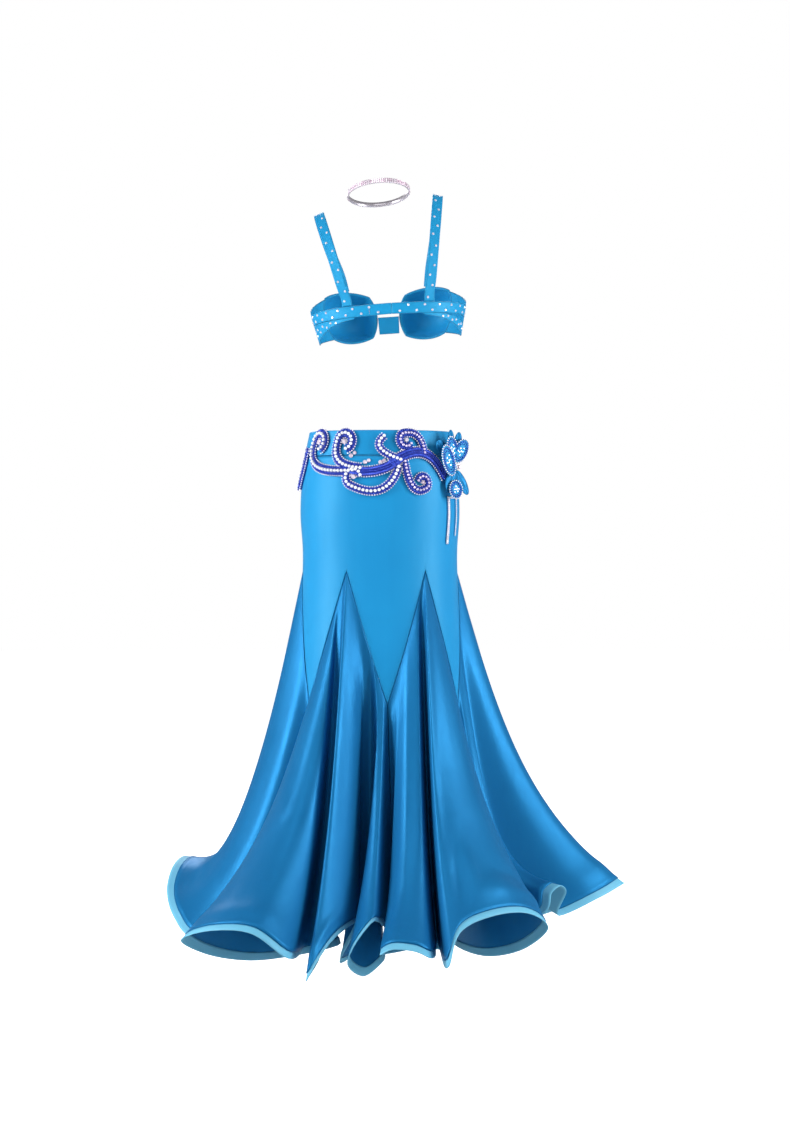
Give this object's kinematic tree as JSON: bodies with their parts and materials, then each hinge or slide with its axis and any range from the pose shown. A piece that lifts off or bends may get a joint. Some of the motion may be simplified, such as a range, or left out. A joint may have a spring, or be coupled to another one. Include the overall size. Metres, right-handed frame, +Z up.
{
  "type": "belly dance dress",
  "caption": "Two-piece belly dance dress, worn form: strappy bra top, stone choker, and a fitted skirt with flared satin godets, bound hem, beaded scroll applique and side flower.",
  "frame": {"origin": "middle of the skirt's waistband ring, where the wearer's hips hold the skirt", "axes": "+Z up the body, the wearer faces -Y, the wearer's right side is at -X"},
  "size_m": [0.8422, 0.8343, 1.4183],
  "materials": {
    "lycra": "smooth stretch knit with a soft sheen, bright sky blue",
    "satin": "glossy woven satin, sky blue",
    "braid": "stiff horsehair braid bound in pale blue cloth",
    "beads": "rows of royal blue and silver beads and stones on a padded ground",
    "stones": "clear faceted stones in silver settings, with a faint pink and blue play"
  },
  "bodies": {
    "root": {"waistband": "lycra", "hip_panel_back": "lycra", "hip_panel_front": "lycra", "back_band_left": "lycra", "back_band_right": "lycra", "under_strap_left": "lycra", "under_strap_right": "lycra", "hook_tab": "lycra", "cup_left": "lycra", "cup_right": "lycra", "side_wing_left": "lycra", "side_wing_right": "lycra", "shoulder_strap_left": "lycra", "shoulder_strap_right": "lycra", "centre_gore": "lycra", "godet_1": "satin", "hem_braid_1": "braid", "godet_2": "satin", "hem_braid_2": "braid", "godet_3": "satin", "hem_braid_3": "braid", "godet_4": "satin", "hem_braid_4": "braid", "godet_5": "satin", "hem_braid_5": "braid", "godet_6": "satin", "hem_braid_6": "braid", "hip_applique": "beads", "side_applique": "beads", "petal_left": "beads", "petal_upper": "beads", "petal_lower": "beads", "petal_right": "lycra", "petal_low": "lycra", "petal_top": "lycra", "petal_side": "lycra", "flower_eye": "stones", "stone_drops": "stones", "choker": "stones"}
  },
  "joints": []
}
